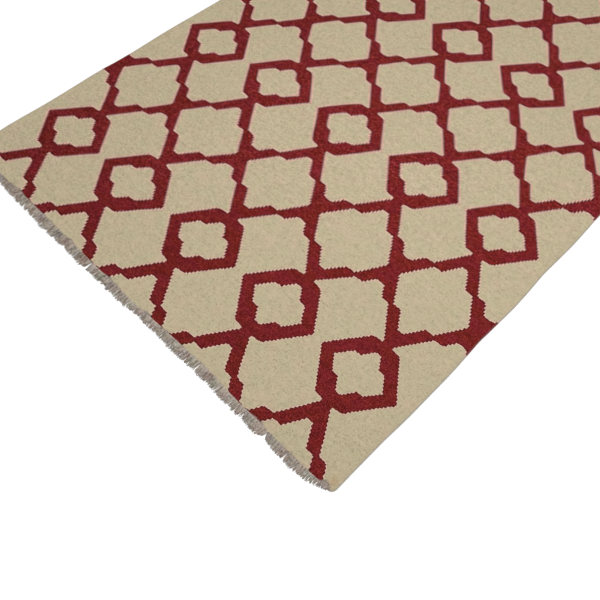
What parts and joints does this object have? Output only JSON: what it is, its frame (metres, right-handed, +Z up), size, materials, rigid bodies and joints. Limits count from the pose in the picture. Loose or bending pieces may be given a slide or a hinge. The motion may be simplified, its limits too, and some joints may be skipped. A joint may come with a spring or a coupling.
{
  "type": "kilim rug",
  "caption": "Flat-woven kilim rug lying on the floor, cream with a red trellis of rings and diamonds, and a short cut fringe along both ends.",
  "frame": {"origin": "on the floor under the middle of the rug's bounding box", "axes": "+Y along the rug, from the near fringed end to the far one; +X across it, to the right; +Z up, out of the worn face"},
  "size_m": [1.5302, 2.5005, 0.003],
  "materials": {
    "woven_wool": "matt weft-faced wool weave, cream with a madder-red trellis",
    "warp_ends": "matt undyed grey-beige twisted yarn"
  },
  "bodies": {
    "root": {"rug_cloth": "woven_wool", "fringe_near": "warp_ends", "fringe_far": "warp_ends"}
  },
  "joints": []
}
